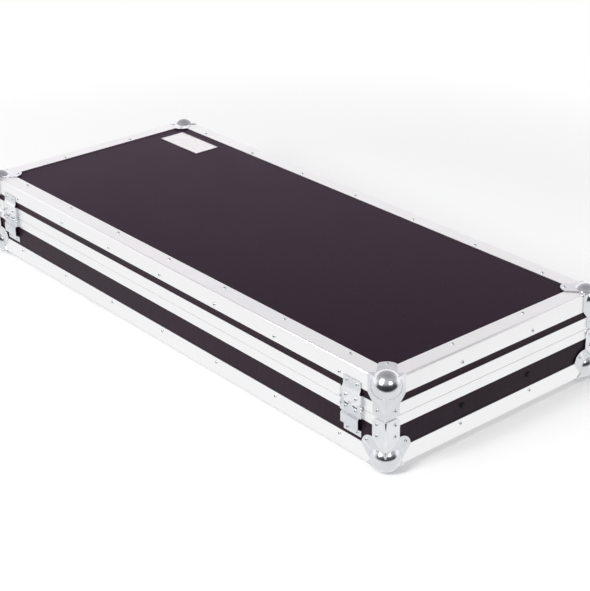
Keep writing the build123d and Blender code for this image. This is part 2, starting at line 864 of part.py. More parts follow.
def rivet(x, y, z, direction):
    """The head of a blind rivet that stands on a face whose outward direction is given."""
    head = Cone(rivet_radius, rivet_radius * rivet_top_share, rivet_height,
                align=(Align.CENTER, Align.CENTER, Align.MIN))
    return Plane(origin=(x, y, z), z_dir=direction) * head


def edging_rivets(flat_z, up, side_z):
    """The rivets of one ring of edging: on its flat legs and on its upright legs."""
    heads = []
    pitch = (case_length - 2 * rivet_end) / (rivet_count_long - 1)
    for n in range(rivet_count_long):
        x = -half_length + rivet_end + n * pitch
        for side in (-1, 1):
            heads.append(rivet(x, side * (half_width - rivet_in), flat_z, (0, 0, up)))
            near_hinge = min(abs(x - place) for place in hinge_places()) < hinge_width / 2 + rivet_radius
            if not (side < 0 and near_hinge):
                heads.append(rivet(x, side * half_width, side_z, (0, side, 0)))
    pitch = (case_width - 2 * rivet_end_short) / (rivet_count_short - 1)
    for n in range(rivet_count_short):
        y = -half_width + rivet_end_short + n * pitch
        for side in (-1, 1):
            heads.append(rivet(side * (half_length - rivet_in), y, flat_z, (0, 0, up)))
            heads.append(rivet(side * half_length, y, side_z, (side, 0, 0)))
    return heads


def corner_rivets(flat_z, up, spots):
    """The rivets of the corners: one on the lobe of the flat face, and pairs on the upright faces."""
    heads = []
    for sx in (-1, 1):
        for sy in (-1, 1):
            x = sx * (half_length - lobe_rivet)
            y = sy * (half_width - lobe_rivet)
            heads.append(rivet(x, y, flat_z + up * plate, (0, 0, up)))
            for inward, z, out in spots:
                heads.append(rivet(sx * (half_length + out), sy * (half_width - inward), z, (sx, 0, 0)))
                heads.append(rivet(sx * (half_length - inward), sy * (half_width + out), z, (0, sy, 0)))
    return heads


def hinge_rivets(levels):
    """The rivets of both hinges: (height, distance of the leaf's face from the case's face)."""
    return [
        rivet(x + side * hinge_rivet_half, -half_width - out, z, (0, -1, 0))
        for x in hinge_places()
        for side in (-1, 1)
        for z, out in levels
    ]


def tray_rivets():
    """All rivet heads of the tray."""
    heads = edging_rivets(bottom, -1, bottom + rivet_in)
    heads += corner_rivets(bottom, -1, [
        (lobe_rivet, bottom + lobe_rivet, plate),
        (leg_rivet_in, parting - brace_rivet_top, brace_thick),
        (leg_rivet_in, parting - brace_rivet_low, brace_thick),
    ])
    heads += hinge_rivets([
        (parting - lower_rivet_near, hinge_stand_off),
        (parting - lower_rivet_far, plate - skin),
    ])
    return Compound(children=heads)


def lid_rivets():
    """All rivet heads of the lid."""
    heads = edging_rivets(top, 1, top - rivet_in)
    heads += corner_rivets(top, 1, [(leg_rivet_in, parting + leg_rivet_up, plate)])
    heads += hinge_rivets([
        (parting + upper_rivet_near, hinge_stand_off),
        (parting + upper_rivet_far, plate),
    ])
    return Compound(children=heads)


def closure_nodes(part, rim):
    """The closing profiles of the tray or the lid, with the equal lengths of both ends together."""
    return {
        f"{part}_hinge_side_closure": rim["hinge_side"],
        f"{part}_latch_side_closure": rim["latch_side"],
        f"{part}_end_closures": Compound(children=[rim["left_end"], rim["right_end"]]),
    }


def tray_nodes():
    """Everything that stays with the tray."""
    nodes = tray_panels()
    nodes |= {f"tray_{side}_edging": bar for side, bar in edging(bottom, 1).items()}
    nodes |= closure_nodes("tray", tray_closures())
    lobe = lobe_outline(True)
    corner = ball_corner(lobe, lobe_outline(False), lobe_outline(False))
    corner = Pos(-half_length, -half_width, bottom) * corner
    nodes |= {f"tray_ball_corner_{place}": piece for place, piece in four_corners(corner).items()}
    brace = Pos(-half_length, -half_width, bottom) * corner_brace()
    nodes["tray_corner_braces"] = Compound(children=list(four_corners(brace).values()))
    nodes["tray_rivets"] = tray_rivets()
    left, right = hinge_places()
    leaf = lower_leaf()
    nodes["hinge_lower_leaf_left"] = Pos(left, 0, 0) * leaf
    nodes["hinge_lower_leaf_right"] = Pos(right, 0, 0) * leaf
    half = hinge_width / 2
    nodes["hinge_pins"] = Compound(
        children=[round_bar(x - half, x + half, pivot_y(), parting, pin_radius) for x in (left, right)]
    )
    left, right = latch_places()
    nodes["latch_dish_left"] = Pos(left, 0, 0) * latch_tray_dish()
    nodes["latch_dish_right"] = Pos(right, 0, 0) * latch_tray_dish()
    nodes["handle_dish"] = handle_dish()
    nodes["guitar_rails"] = rails()
    nodes["rail_bolts"] = rail_bolts()
    nodes["rail_foam_sleeves"] = rail_sleeves()
    nodes["tray_foam_pad"] = tray_pad()
    return nodes


def lid_nodes():
    """Everything that turns with the lid."""
    nodes = lid_panels()
    nodes |= {f"lid_{side}_edging": bar for side, bar in edging(top, -1).items()}
    nodes |= closure_nodes("lid", lid_closures())
    corner = ball_corner(lobe_outline(True), leg_outline(), leg_outline())
    corner = Pos(-half_length, -half_width, top) * mirror(corner, about=Plane.XY)
    nodes |= {f"lid_ball_corner_{place}": piece for place, piece in four_corners(corner).items()}
    nodes["lid_rivets"] = lid_rivets()
    left, right = hinge_places()
    leaf = upper_leaf()
    nodes["hinge_upper_leaf_left"] = Pos(left, 0, 0) * leaf
    nodes["hinge_upper_leaf_right"] = Pos(right, 0, 0) * leaf
    keeper = latch_keeper_dish()
    nodes["latch_keeper_dishes"] = Compound(children=[Pos(x, 0, 0) * keeper for x in latch_places()])
    nodes["neck_comb"] = neck_comb()
    nodes["neck_foam_liners"] = neck_liners()
    nodes["lid_foam_pad"] = lid_pad()
    nodes["blank_badge"] = badge()
    return nodes


def moving_nodes():
    """The pieces that move by themselves: hooks, rotors and wings of the latches, and the handle."""
    nodes = {}
    for name, x in zip(("left", "right"), latch_places()):
        nodes[f"latch_hook_{name}"] = Pos(x, 0, 0) * leaned(hook())
        nodes[f"latch_rotor_{name}"] = Pos(x, 0, 0) * leaned(rotor())
        nodes[f"latch_wing_{name}"] = Pos(x, 0, 0) * leaned(wing())
    nodes["handle_bail"] = handle_bail()
    nodes["handle_grip"] = handle_grip()
    return nodes


os.makedirs("parts", exist_ok=True)
for name, shape in (tray_nodes() | lid_nodes() | moving_nodes()).items():
    export_step(shape, f"parts/{name}.step")
print("hinge axis y z", pivot_y(), parting)
print("hook axis y z", half_width - hook_pivot_deep, parting - hook_pivot_down)
print("handle axis y z", *handle_pivot())
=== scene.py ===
# %% [markdown]
# A road case that opens into a rack for guitars
#
# The real case is dark film faced plywood held in bright aluminium angle. Steel ball corners cap
# its eight corners, two cranked hinges carry the lid, and the far side has two twist latches and
# a folding handle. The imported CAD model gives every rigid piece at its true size, so this script
# only dresses it: it gives each piece a finish, builds the small or soft things that plain solids
# show badly, and sets up the studio. Everything is in metres, in the frame of the CAD model.

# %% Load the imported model
import json
import math

import bmesh
import bpy
from mathutils import Matrix, Quaternion, Vector

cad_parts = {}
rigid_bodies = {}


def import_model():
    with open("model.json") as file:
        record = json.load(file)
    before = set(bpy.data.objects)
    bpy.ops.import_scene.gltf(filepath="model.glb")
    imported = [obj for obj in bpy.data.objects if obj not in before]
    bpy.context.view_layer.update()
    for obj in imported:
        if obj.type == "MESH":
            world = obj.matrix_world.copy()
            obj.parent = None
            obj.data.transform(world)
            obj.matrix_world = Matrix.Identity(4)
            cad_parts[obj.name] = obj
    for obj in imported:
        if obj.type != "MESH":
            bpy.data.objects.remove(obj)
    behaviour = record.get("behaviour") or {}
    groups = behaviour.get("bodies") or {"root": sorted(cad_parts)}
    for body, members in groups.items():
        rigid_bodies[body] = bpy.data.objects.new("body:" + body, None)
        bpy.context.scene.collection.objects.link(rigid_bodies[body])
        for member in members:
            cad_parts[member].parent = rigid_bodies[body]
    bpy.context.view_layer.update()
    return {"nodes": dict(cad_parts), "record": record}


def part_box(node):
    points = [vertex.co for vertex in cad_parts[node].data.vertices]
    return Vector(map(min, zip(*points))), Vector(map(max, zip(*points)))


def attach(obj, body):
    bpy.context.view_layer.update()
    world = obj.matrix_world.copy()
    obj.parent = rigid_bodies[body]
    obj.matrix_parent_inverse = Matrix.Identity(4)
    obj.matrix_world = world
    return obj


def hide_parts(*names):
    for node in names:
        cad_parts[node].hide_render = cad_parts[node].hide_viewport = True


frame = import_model()
nodes = frame["nodes"]
MM = 0.001

# %% [markdown]
# The camera
#
# A camera can be placed by eye, but here the edges of the case were fitted first, which gives the
# place, the turn and the focal length of the lens. The picture is 590 by 591 pixels, and Blender
# fits the sensor to the longer side of it, so the focal length in pixels is turned into
# millimetres with that longer side. The camera is also rolled a little, because the picture is.

# %% Camera
AZIMUTH, ELEVATION, ROLL = (math.radians(angle) for angle in (50.162, 25.712, -0.921))
CAMERA_PLACE = (1.9263, -1.5449, 1.2105)
FOCAL_PIXELS, LONG_SIDE_PIXELS, SENSOR = 1536.5, 591, 36.0
camera = bpy.data.objects.new("camera", bpy.data.cameras.new("camera"))
bpy.context.scene.collection.objects.link(camera)
bpy.context.scene.camera = camera
camera.data.sensor_width = SENSOR
camera.data.lens = SENSOR * FOCAL_PIXELS / LONG_SIDE_PIXELS
camera.location = CAMERA_PLACE
towards_camera = Vector((
    math.sin(AZIMUTH) * math.cos(ELEVATION),
    -math.cos(AZIMUTH) * math.cos(ELEVATION),
    math.sin(ELEVATION),
))
camera.rotation_mode = "QUATERNION"
upright = (-towards_camera).to_track_quat("-Z", "Y")
camera.rotation_quaternion = upright @ Quaternion((0, 0, 1), ROLL)
print("lens, mm:", round(camera.data.lens, 2))

# %% [markdown]
# Building with nodes
#
# The world, the floor and every finish are trees of nodes. They could be clicked together in the
# shader editor, but a few short helpers say the same in code: one adds a node and joins its
# inputs, and the others are the handful of nodes that come back again and again.


# %% Node helpers
COLOUR_INPUTS, COLOUR_OUTPUT = (6, 7), 2


def add(tree, kind, inputs=None, **settings):
    """A new node with its settings, and its inputs set to values or joined to other sockets."""
    node = tree.nodes.new(kind)
    for key, value in settings.items():
        setattr(node, key, value)
    for key, value in (inputs or {}).items():
        if isinstance(value, bpy.types.NodeSocket):
            tree.links.new(value, node.inputs[key])
        else:
            node.inputs[key].default_value = value
    return node


def along(tree, vector, way):
    """How far a vector reaches along a way."""
    node = add(tree, "ShaderNodeVectorMath", {0: vector, 1: way}, operation="DOT_PRODUCT")
    return node.outputs["Value"]


def share_between(tree, value, low, high, curve="LINEAR"):
    """0 where a value is at low or less, 1 where it is at high or more."""
    limits = {"Value": value, "From Min": low, "From Max": high}
    return add(tree, "ShaderNodeMapRange", limits, interpolation_type=curve).outputs[0]


def blend_colour(tree, mask, first, second):
    """A mix of two colours by a mask. The mix node has other sockets for numbers and vectors."""
    mix = add(tree, "ShaderNodeMix", {0: mask}, data_type="RGBA")
    for index, colour in zip(COLOUR_INPUTS, (first, second)):
        if isinstance(colour, bpy.types.NodeSocket):
            tree.links.new(colour, mix.inputs[index])
        else:
            mix.inputs[index].default_value = (*colour, 1)
    return mix.outputs[COLOUR_OUTPUT]


def blend_shader(tree, share, first, second):
    """A mix of two shader nodes: only the first at a share of 0, only the second at 1."""
    return add(tree, "ShaderNodeMixShader", {0: share, 1: first.outputs[0], 2: second.outputs[0]})


def ramp(tree, value, stops):
    """A colour ramp through (place, colour) stops."""
    node = add(tree, "ShaderNodeValToRGB", {"Fac": value})
    while len(node.color_ramp.elements) < len(stops):
        node.color_ramp.elements.new(0.5)
    for element, (place, colour) in zip(node.color_ramp.elements, stops):
        element.position, element.color = place, (*colour, 1)
    return node.outputs["Color"]


node_helpers = (add, along, share_between, blend_colour, blend_shader, ramp)
print("node helpers:", ", ".join(helper.__name__ for helper in node_helpers))

# %% [markdown]
# The room round the case
#
# The picture was taken on a white sweep under large soft lamps, so the shadows are faint and the
# metal is nearly white. What polished metal mirrors matters as much as what lights it: the balls
# of the corners show the white floor, the lamps and a dark crescent, which is the unlit room on
# the near side of the table. A dark card could stand there, but it would show from that side, so
# instead only the rays that bounce off gloss see a dark room on the near side and a pale backdrop
# on the far side. Rays from the camera see a plain pale background everywhere.

# %% World
NEAR_SIDE = (math.sin(AZIMUTH), -math.cos(AZIMUTH), 0.0)
EVEN_LIGHT, WHITE = (0.55, 0.55, 0.55), (1.0, 1.0, 1.0)
BACKDROP = [(0.0, 1.37), (0.375, 1.37), (0.43, 0.97), (0.55, 0.63), (1.0, 0.42)]
BACKDROP_TINT = (1.0, 0.975, 0.997)
DARK_ROOM = [(0.0, 0.04), (0.25, 0.05), (0.36, 0.16), (0.5, 0.52), (0.85, 0.64), (1.0, 0.48)]
ROOM_FROM, ROOM_FULL = -0.15, 0.45
scene = bpy.context.scene
scene.view_settings.view_transform = "Standard"
scene.world = bpy.data.worlds.new("studio")
scene.world.use_nodes = True
tree = scene.world.node_tree
tree.nodes.clear()
direction = add(tree, "ShaderNodeTexCoord").outputs["Generated"]
height = add(tree, "ShaderNodeSeparateXYZ", {0: direction}).outputs["Z"]
backdrop = ramp(tree, height, [(z, [level * part for part in BACKDROP_TINT]) for z, level in BACKDROP])
dark_room = ramp(tree, height, [(z, (level, level, level)) for z, level in DARK_ROOM])
turned = share_between(tree, along(tree, direction, NEAR_SIDE), ROOM_FROM, ROOM_FULL, "SMOOTHSTEP")
room = blend_colour(tree, turned, backdrop, dark_room)
path = add(tree, "ShaderNodeLightPath").outputs
lit = blend_colour(tree, path["Is Glossy Ray"], EVEN_LIGHT, room)
light = add(tree, "ShaderNodeBackground", {"Color": lit, "Strength": 1.0})
pale = add(tree, "ShaderNodeBackground", {"Color": (*WHITE, 1), "Strength": 1.0})
world_seen = blend_shader(tree, path["Is Camera Ray"], light, pale)
add(tree, "ShaderNodeOutputWorld", {"Surface": world_seen.outputs[0]})
print("world nodes:", len(tree.nodes))

# %% [markdown]
# The floor
#
# A white floor alone would grey out towards the edge of the picture. It keeps the shadow of the
# case near it, and further out the camera's own rays see plain white, so floor and background are
# one. In gloss the sweep is a bright sheet that ends a little past the case on the near side,
# where the dark room starts.

# %% Floor
FLOOR_REACH = 12.0
floor_corners = [(x * FLOOR_REACH, y * FLOOR_REACH, 0) for x, y in ((-1, -1), (1, -1), (1, 1), (-1, 1))]
floor_mesh = bpy.data.meshes.new("floor")
floor_mesh.from_pydata(floor_corners, [], [(0, 1, 2, 3)])
floor = bpy.data.objects.new("floor", floor_mesh)
scene.collection.objects.link(floor)
print("floor, m:", 2 * FLOOR_REACH, "across")

# %% White sweep
SWEEP_END, ROOM_START = 0.82, 0.94
SHADOW_END, WHITE_START = 0.85, 1.4
SWEEP_COLOUR, SWEEP_ROUGH, SWEEP_MIRRORED = (0.93, 0.93, 0.935, 1), 0.9, 1.06
ROOM_COLOUR = (0.04, 0.04, 0.042)


def new_material(name):
    """A node material with nothing in it but its output."""
    material = bpy.data.materials.new(name)
    material.use_nodes = True
    material.node_tree.nodes.clear()
    return material, material.node_tree, add(material.node_tree, "ShaderNodeOutputMaterial")


def maths(tree, operation, *values, clamped=False):
    """Arithmetic on one or two numbers or sockets."""
    node = add(tree, "ShaderNodeMath", dict(enumerate(values)), operation=operation, use_clamp=clamped)
    return node.outputs[0]


def glow(tree, colour, strength=1.0):
    """A surface that only gives out light of one colour."""
    return add(tree, "ShaderNodeEmission", {"Color": (*colour, 1), "Strength": strength})


material, tree, output = new_material("white_sweep")
sweep_inputs = {"Base Color": SWEEP_COLOUR, "Roughness": SWEEP_ROUGH}
sweep = add(tree, "ShaderNodeBsdfPrincipled", sweep_inputs)
place = add(tree, "ShaderNodeNewGeometry").outputs["Position"]
path = add(tree, "ShaderNodeLightPath").outputs
past = share_between(tree, along(tree, place, NEAR_SIDE), SWEEP_END, ROOM_START)
mirrored = blend_shader(tree, past, glow(tree, WHITE, SWEEP_MIRRORED), glow(tree, ROOM_COLOUR))
from_middle = add(tree, "ShaderNodeVectorMath", {0: place}, operation="LENGTH").outputs["Value"]
away = share_between(tree, from_middle, SHADOW_END, WHITE_START)
faded = maths(tree, "MULTIPLY", away, path["Is Camera Ray"])
direct = blend_shader(tree, faded, sweep, glow(tree, WHITE))
floor_seen = blend_shader(tree, path["Is Glossy Ray"], direct, mirrored)
tree.links.new(floor_seen.outputs[0], output.inputs["Surface"])
floor_mesh.materials.append(material)
print("floor nodes:", len(tree.nodes))

# %% [markdown]
# The lamps
#
# Three large area lamps stand in for the studio's soft boxes: a strong one on the left, a weaker
# one on the right and a faint one above. Point lamps would throw hard shadows, and their mirror
# images on the balls would be dots instead of soft spots. The lamp above only fills the shadows,
# so gloss doesn't see it.

# %% Lamps
LAMP_AIM = Vector((0, 0, 0.1))


def lamp(name, place, wide, high, power):
    """A rectangular area lamp that looks at the middle of the case."""
    light = bpy.data.lights.new(name, "AREA")
    light.shape = "RECTANGLE"
    light.size, light.size_y, light.energy = wide, high, power
    item = bpy.data.objects.new(name, light)
    item.location = place
    item.rotation_mode = "QUATERNION"
    item.rotation_quaternion = (LAMP_AIM - Vector(place)).to_track_quat("-Z", "Y")
    scene.collection.objects.link(item)
    return item


lamp("lamp_left", (0.36, -2.85, 2.40), wide=1.1, high=1.9, power=100)
lamp("lamp_right", (3.08, -0.57, 2.08), wide=1.1, high=1.1, power=16)
lamp("lamp_top", (-0.8, 1.0, 3.0), wide=2.0, high=2.0, power=12).visible_glossy = False

# %% [markdown]
# Shared effects
#
# Several finishes need the same small things: fine streaks on drawn aluminium, faint cloudy
# patches on plated steel, and dust and rubbing marks on film and paint. Each is a node group with
# its own sockets, built once, so a material only sets how strong and how large the effect is.


# %% Helpers for node groups
def new_group(name, inputs, outputs):
    """An empty node group with its sockets: (title, kind, value) inputs and float outputs."""
    group = bpy.data.node_groups.new(name, "ShaderNodeTree")
    for title, kind, value in inputs:
        socket = group.interface.new_socket(title, in_out="INPUT", socket_type=f"NodeSocket{kind}")
        socket.default_value = value
    for title in outputs:
        group.interface.new_socket(title, in_out="OUTPUT", socket_type="NodeSocketFloat")
    source = group.nodes.new("NodeGroupInput")
    sink = group.nodes.new("NodeGroupOutput")
    return group, source.outputs, sink.inputs


def object_space(tree, scale=(1, 1, 1)):
    """The place on the piece in its own space, stretched by a vector that a socket may give."""
    where = add(tree, "ShaderNodeTexCoord").outputs["Object"]
    return add(tree, "ShaderNodeVectorMath", {0: where, 1: scale}, operation="MULTIPLY").outputs[0]


NOISE_MIDDLE = 0.5


def noise(tree, place, scale, detail, roughness=0.5):
    """Cloudy noise at a place, which varies round its middle."""
    inputs = {"Vector": place, "Scale": scale, "Detail": detail, "Roughness": roughness}
    return add(tree, "ShaderNodeTexNoise", inputs).outputs["Fac"]


effects = {}


def keep_effects(*makers):
    """Builds shared effects, each once, and keeps them by name."""
    for make in makers:
        effects[make.__name__] = make()
        print("shared effect:", make.__name__, "with nodes:", len(effects[make.__name__].nodes))


# %% Streaks and patches
def drawn_streaks():
    """Fine long streaks as on drawn or brushed metal: a mask, and a height for a bump."""
    inputs = [("Stretch", "Vector", (4, 900, 900)), ("Contrast", "Float", 0.5)]
    group, given, made = new_group("drawn_streaks", inputs, ["Mask", "Height"])
    place = object_space(group, given["Stretch"])
    fine = noise(group, place, scale=1.0, detail=4.0, roughness=0.6)
    apart = maths(group, "SUBTRACT", fine, NOISE_MIDDLE)
    scaled = maths(group, "MULTIPLY", apart, given["Contrast"])
    group.links.new(maths(group, "ADD", scaled, NOISE_MIDDLE, clamped=True), made["Mask"])
    group.links.new(fine, made["Height"])
    return group


def cloudy_patches():
    """Soft uneven patches, as handling leaves on plated steel and film."""
    inputs = [("Scale", "Float", 30.0), ("Low", "Float", 0.4), ("High", "Float", 0.7)]
    group, given, made = new_group("cloudy_patches", inputs, ["Mask"])
    cloud = noise(group, object_space(group), given["Scale"], detail=6.0, roughness=0.55)
    group.links.new(share_between(group, cloud, given["Low"], given["High"]), made["Mask"])
    return group


keep_effects(drawn_streaks, cloudy_patches)

# %% Pressed mesh and worn edges
SPECK_REACH, SPECK_RARITY, RUB_RANGE = 0.16, 0.93, 0.06


def mesh_print():
    """The fine wire mesh that is pressed into the film, with scattered bright specks."""
    inputs = [("Pitch", "Float", 650.0), ("Specks", "Float", 420.0)]
    group, given, made = new_group("mesh_print", inputs, ["Height", "Specks"])
    place = object_space(group)
    slanted = {"Vector": place, "Angle": math.radians(45)}
    turned = add(group, "ShaderNodeVectorRotate", slanted, rotation_type="Z_AXIS").outputs[0]
    scaled = {0: turned, "Scale": given["Pitch"]}
    cells = add(group, "ShaderNodeVectorMath", scaled, operation="SCALE").outputs[0]
    split = add(group, "ShaderNodeSeparateXYZ", {0: cells}).outputs
    waves = [maths(group, "SINE", split[axis]) for axis in ("X", "Y", "Z")]
    highest = maths(group, "MAXIMUM", maths(group, "MAXIMUM", waves[0], waves[1]), waves[2])
    specks = {"Vector": place, "Scale": given["Specks"], "Randomness": 1.0}
    grain = add(group, "ShaderNodeTexVoronoi", specks).outputs
    near = maths(group, "LESS_THAN", grain["Distance"], SPECK_REACH)
    chosen = add(group, "ShaderNodeSeparateColor", {0: grain["Color"]}).outputs[0]
    rare = maths(group, "GREATER_THAN", chosen, SPECK_RARITY)
    group.links.new(highest, made["Height"])
    group.links.new(maths(group, "MULTIPLY", near, rare), made["Specks"])
    return group


def edge_rub():
    """Worn edges: where the surface turns sharply, broken up by noise."""
    inputs = [("Sharpness", "Float", 0.54), ("Scale", "Float", 260.0)]
    group, given, made = new_group("edge_rub", inputs, ["Mask"])
    point = add(group, "ShaderNodeNewGeometry").outputs["Pointiness"]
    broken = noise(group, object_space(group), given["Scale"], detail=3.0)
    sharpest = maths(group, "ADD", given["Sharpness"], RUB_RANGE)
    worn = share_between(group, point, given["Sharpness"], sharpest)
    group.links.new(maths(group, "MULTIPLY", worn, broken, clamped=True), made["Mask"])
    return group


keep_effects(mesh_print, edge_rub)


# %% Helpers for finishes
def effect(tree, name, **inputs):
    """The outputs of a shared effect that is placed in a material with its own values."""
    return add(tree, "ShaderNodeGroup", inputs, node_tree=effects[name]).outputs


def cloudy(tree, scale, low, high):
    """The mask of the cloudy patches: none where the noise is low, full where it is high."""
    return effect(tree, "cloudy_patches", Scale=scale, Low=low, High=high)["Mask"]


def spread(tree, mask, low, high):
    """A mask turned into a value between two limits."""
    return add(tree, "ShaderNodeMapRange", {"Value": mask, "To Min": low, "To Max": high}).outputs[0]


def bumped(tree, height, distance):
    """A normal that is bumped by a height, which is a distance in metres at its most."""
    inputs = {"Height": height, "Distance": distance, "Strength": 1.0}
    return add(tree, "ShaderNodeBump", inputs).outputs[0]


def finish(name, build):
    """A material with one principled shader, fed by what build returns for its sockets."""
    material, tree, output = new_material(name)
    shader = add(tree, "ShaderNodeBsdfPrincipled", build(tree))
    tree.links.new(shader.outputs[0], output.inputs["Surface"])
    return material


materials = {}


def keep_finishes(**builds):
    """Makes materials and keeps them by name."""
    materials.update({name: finish(name, build) for name, build in builds.items()})
    print("finishes:", ", ".join(builds))


# %% [markdown]
# The film of the panels
#
# Film faced plywood is birch under a phenolic film, nearly black with a violet cast, and a fine
# wire mesh is pressed into it. The cast is strongest where the film is seen at a low angle. A
# violet base colour alone would look painted from above, so a thin tinted sheen carries most of
# it. The lid's large panel has its own copy of the film, with less gloss and more sheen than the
# sides, and a darker colour that is painted shade for the top of the case.

# %% Film faced plywood
FILM_SPECK_COLOUR = (0.10, 0.080, 0.10)
FILM_GLOSS_TINT, FILM_SHEEN_TINT = (1.0, 0.74, 1.0, 1), (1.0, 0.5, 1.0, 1)
FILM_MESH_DEPTH = 0.00004


def film_plywood(tint_low, tint_high, gloss, sheen):
    """The film in two tints, with a level of gloss and a weight of sheen."""
    def build(tree):
        prints = effect(tree, "mesh_print")
        patches = cloudy(tree, scale=9.0, low=0.35, high=0.75)
        tint = blend_colour(tree, patches, tint_low, tint_high)
        return {
            "Base Color": blend_colour(tree, prints["Specks"], tint, FILM_SPECK_COLOUR),
            "Roughness": spread(tree, patches, 0.30, 0.38),
            "Specular IOR Level": gloss,
            "Specular Tint": FILM_GLOSS_TINT,
            "Sheen Weight": sheen,
            "Sheen Roughness": 0.35,
            "Sheen Tint": FILM_SHEEN_TINT,
            "Normal": bumped(tree, prints["Height"], FILM_MESH_DEPTH),
        }
    return build


keep_finishes(
    film_plywood=film_plywood(
        (0.0138, 0.0080, 0.0116), (0.0182, 0.0107, 0.0155), gloss=0.09, sheen=0.05),
    # The lid's copy is darker than the sides: painted shade for the top panel.
    film_lid=film_plywood(
        (0.0084, 0.0040, 0.0074), (0.0112, 0.0055, 0.0100), gloss=0.022, sheen=0.18),
)

# %% [markdown]
# Bare and plated metal
#
# The edging is drawn aluminium, a bright rough metal with streaks along the bar, so the streaks
# are stretched along X or along Y to follow each bar. The corners, braces, hinges and latches are
# pressed steel under zinc: much smoother, cooler, a little patchy, and rubbed bright at its
# edges. Both could be one plain metal, but the streaks are what tells the two apart.

# %% Aluminium and zinc
ALUMINIUM_LOW, ALUMINIUM_HIGH = (0.82, 0.82, 0.83), (0.92, 0.915, 0.925)
ZINC_RUBBED = (0.9, 0.9, 0.91)
STREAK_DEPTH = 0.00002


def aluminium(stretch):
    """Drawn aluminium with its streaks along the axis that is stretched least."""
    def build(tree):
        streaks = effect(tree, "drawn_streaks", Stretch=stretch, Contrast=1.2)
        patches = cloudy(tree, scale=14.0, low=0.3, high=0.8)
        drawn = spread(tree, streaks["Mask"], low=0.30, high=0.44)
        handled = spread(tree, patches, low=-0.03, high=0.05)
        return {
            "Base Color": blend_colour(tree, streaks["Mask"], ALUMINIUM_LOW, ALUMINIUM_HIGH),
            "Metallic": 1.0,
            "Roughness": maths(tree, "ADD", drawn, handled),
            "Normal": bumped(tree, streaks["Height"], STREAK_DEPTH),
        }
    return build


def zinc(colour_low, colour_high, rough):
    """Plated steel between two colours and two roughnesses, bright along its edges."""
    def build(tree):
        patches = cloudy(tree, scale=60.0, low=0.3, high=0.7)
        worn = effect(tree, "edge_rub", Sharpness=0.53)["Mask"]
        plated = blend_colour(tree, patches, colour_low, colour_high)
        return {
            "Base Color": blend_colour(tree, worn, plated, ZINC_RUBBED),
            "Metallic": 1.0,
            "Roughness": spread(tree, patches, *rough),
        }
    return build


keep_finishes(
    aluminium_long=aluminium((5, 1100, 1100)),
    aluminium_short=aluminium((1100, 5, 1100)),
    zinc_corner=zinc((0.62, 0.63, 0.66), (0.70, 0.71, 0.74), rough=(0.15, 0.22)),
    zinc_brace=zinc((0.68, 0.69, 0.71), (0.76, 0.77, 0.79), rough=(0.14, 0.20)),
    zinc_hinge=zinc((0.58, 0.60, 0.63), (0.70, 0.72, 0.75), rough=(0.24, 0.34)),
    zinc_latch=zinc((0.70, 0.71, 0.73), (0.78, 0.79, 0.81), rough=(0.14, 0.22)),
    rivet_steel=zinc((0.66, 0.67, 0.68), (0.76, 0.77, 0.78), rough=(0.25, 0.36)),
    # The hole of each rivet and the end of its mandrel are near black: painted shade of the hole.
    mandrel_steel=zinc((0.10, 0.10, 0.105), (0.18, 0.18, 0.185), rough=(0.45, 0.6)),
    plate_rim=zinc((0.30, 0.30, 0.31), (0.42, 0.42, 0.43), rough=(0.3, 0.4)),
)

# %% [markdown]
# The other finishes
#
# The inside is plainer: a birch comb that holds the necks, rails in powder coated tube with its
# orange peel, bolts in black oxide that is worn at the edges, and closed cell foam with fine pores.
# The grip of the handle is rubber, and the plate on the lid is enamelled. Most of these are dark,
# each in its own way, so each has its own scale of bump and patches instead of one shared black.

# %% Birch, paint and oxide
GRAIN_DEPTH, PEEL_DEPTH = 0.0001, 0.00005


def birch(tree):
    """Sawn birch board with its grain along X."""
    grain = effect(tree, "drawn_streaks", Stretch=(6, 160, 160), Contrast=1.6)
    colour = blend_colour(tree, grain["Mask"], (0.46, 0.29, 0.16), (0.62, 0.43, 0.26))
    return {"Base Color": colour, "Roughness": 0.55,
            "Normal": bumped(tree, grain["Height"], GRAIN_DEPTH)}


def powder_coat(tree):
    """Black powder coat with a fine orange peel."""
    peel = noise(tree, object_space(tree), scale=900.0, detail=2.0)
    rubbed = cloudy(tree, scale=40.0, low=0.45, high=0.8)
    colour = blend_colour(tree, rubbed, (0.012, 0.012, 0.013), (0.022, 0.022, 0.023))
    return {"Base Color": colour, "Roughness": 0.42, "Normal": bumped(tree, peel, PEEL_DEPTH)}


def black_oxide(tree):
    """Blackened steel, worn grey along its edges."""
    worn = effect(tree, "edge_rub", Sharpness=0.55)["Mask"]
    patches = cloudy(tree, scale=300.0, low=0.4, high=0.7)
    black = blend_colour(tree, patches, (0.004, 0.004, 0.004), (0.008, 0.008, 0.008))
    colour = blend_colour(tree, worn, black, (0.05, 0.05, 0.05))
    return {"Base Color": colour, "Roughness": spread(tree, patches, 0.5, 0.62),
            "Specular IOR Level": 0.15}


keep_finishes(birch_board=birch, black_powder=powder_coat, black_oxide=black_oxide)

# %% Foam, rubber and enamel
PORE_DEPTH, RUBBER_DEPTH = 0.00025, 0.00006
PORE_PIT_AND_SHADE_STOPS = [(0.0, (0.0, 0.0, 0.0)), (0.55, (1.0, 1.0, 1.0))]


def foam(tree):
    """Closed cell foam with sunk pores, darker than the skin: the darker colour is painted shade in the
    pits.
    """
    cells = add(tree, "ShaderNodeTexVoronoi", {"Vector": object_space(tree), "Scale": 620.0})
    pore_pits_and_shade = ramp(tree, cells.outputs["Distance"], PORE_PIT_AND_SHADE_STOPS)
    faded = cloudy(tree, scale=18.0, low=0.3, high=0.75)
    skin = blend_colour(tree, faded, (0.018, 0.019, 0.022), (0.03, 0.031, 0.035))
    # The pores are darker than the skin: painted shade in the pits, on top of their bump.
    colour = blend_colour(tree, pore_pits_and_shade, (0.008, 0.008, 0.01), skin)
    return {"Base Color": colour, "Roughness": 0.93, "Sheen Weight": 0.15,
            "Normal": bumped(tree, pore_pits_and_shade, PORE_DEPTH)}


